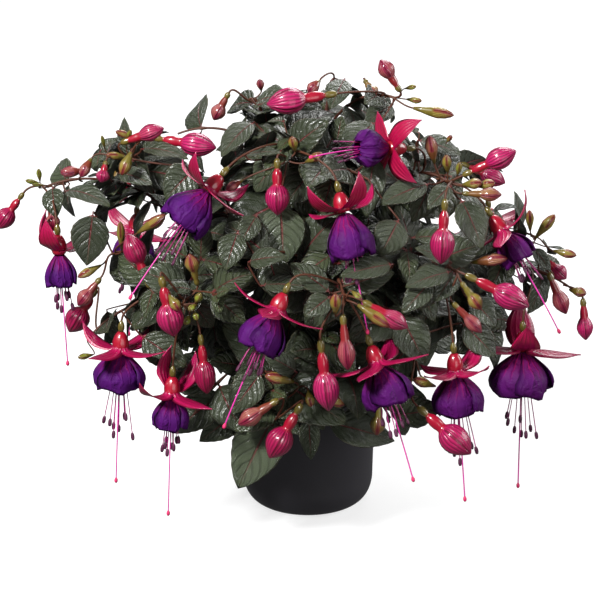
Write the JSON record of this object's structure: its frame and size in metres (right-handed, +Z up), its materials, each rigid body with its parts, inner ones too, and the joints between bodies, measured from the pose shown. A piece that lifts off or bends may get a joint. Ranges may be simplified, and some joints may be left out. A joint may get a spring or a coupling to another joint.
{
  "type": "trailing fuchsia plant in a round pot",
  "caption": "Bushy trailing plant with toothed leaves, fat buds and drooping two-coloured flowers, growing in a smooth round pot that stands flat.",
  "frame": {"origin": "centre of the pot's flat underside, on the surface that the pot stands on", "axes": "+Z up along the pot's axis, +X to the right seen from the side with most flowers, which faces -Y"},
  "size_m": [0.4488, 0.3765, 0.356],
  "materials": {
    "pot": "matte near-black moulded plastic",
    "soil": "dark moist potting compost, crumbly",
    "foliage": "dark grey-green satin leaves with crimson midribs, dark red stems, crimson and pink buds",
    "sepals": "glossy crimson tube and sepals",
    "petals": "velvety violet-purple petals with magenta veins at the base",
    "stamens": "magenta threads with dark maroon anthers"
  },
  "bodies": {
    "root": {"pot": "pot", "soil": "soil", "stem_far_left": "foliage", "stem_left": "foliage", "stem_front_low": "foliage", "stem_front": "foliage", "stem_crown_front": "foliage", "stem_crown_left": "foliage", "stem_crown_right": "foliage", "stem_right_high": "foliage", "stem_right_front": "foliage", "stem_far_right": "foliage", "stem_back_left": "foliage", "stem_back": "foliage", "stem_back_right": "foliage", "bloom_01_calyx": "sepals", "bloom_01_corolla": "petals", "bloom_01_stamens": "stamens", "bloom_02_calyx": "sepals", "bloom_02_corolla": "petals", "bloom_02_stamens": "stamens", "bloom_03_calyx": "sepals", "bloom_03_corolla": "petals", "bloom_03_stamens": "stamens", "bloom_04_calyx": "sepals", "bloom_04_corolla": "petals", "bloom_04_stamens": "stamens", "bloom_05_calyx": "sepals", "bloom_05_corolla": "petals", "bloom_05_stamens": "stamens", "bloom_06_calyx": "sepals", "bloom_06_corolla": "petals", "bloom_06_stamens": "stamens", "bloom_07_calyx": "sepals", "bloom_07_corolla": "petals", "bloom_07_stamens": "stamens", "bloom_08_calyx": "sepals", "bloom_08_corolla": "petals", "bloom_08_stamens": "stamens", "bloom_09_calyx": "sepals", "bloom_09_corolla": "petals", "bloom_09_stamens": "stamens", "bloom_10_calyx": "sepals", "bloom_10_corolla": "petals", "bloom_10_stamens": "stamens", "bloom_11_calyx": "sepals", "bloom_11_corolla": "petals", "bloom_11_stamens": "stamens", "bloom_12_calyx": "sepals", "bloom_12_corolla": "petals", "bloom_12_stamens": "stamens", "bloom_13_calyx": "sepals", "bloom_13_corolla": "petals", "bloom_13_stamens": "stamens", "bloom_14_calyx": "sepals", "bloom_14_corolla": "petals", "bloom_14_stamens": "stamens"}
  },
  "joints": []
}
